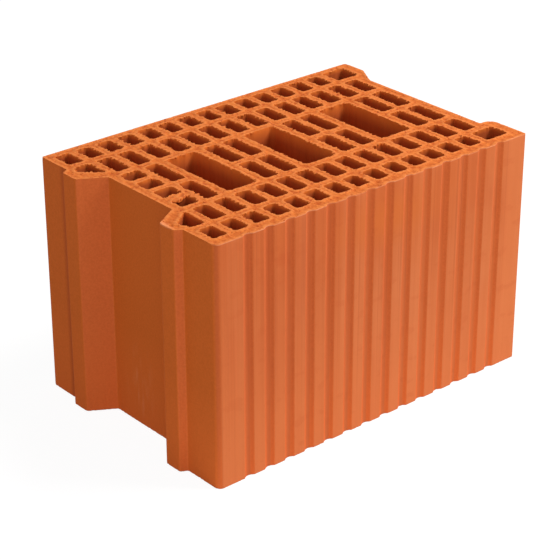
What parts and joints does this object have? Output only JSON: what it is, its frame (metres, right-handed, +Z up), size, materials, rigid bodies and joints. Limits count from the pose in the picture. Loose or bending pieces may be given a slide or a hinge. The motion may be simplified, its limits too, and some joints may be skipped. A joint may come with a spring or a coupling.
{
  "type": "hollow clay block",
  "caption": "Fired clay wall block with rows of upright holes, large grip holes, a grooved front face and tongue and recess ends that interlock dry.",
  "frame": {"origin": "middle of the bottom bed face's bounding box, the tongues counted in its length", "axes": "+X along the wall from the tongue end to the recess end, +Y from the grooved face to the plain face, +Z up along the holes"},
  "size_m": [0.382, 0.25, 0.238],
  "materials": {
    "fired_clay": "matt, unglazed"
  },
  "bodies": {
    "root": {"clay_block": "fired_clay"}
  },
  "joints": []
}
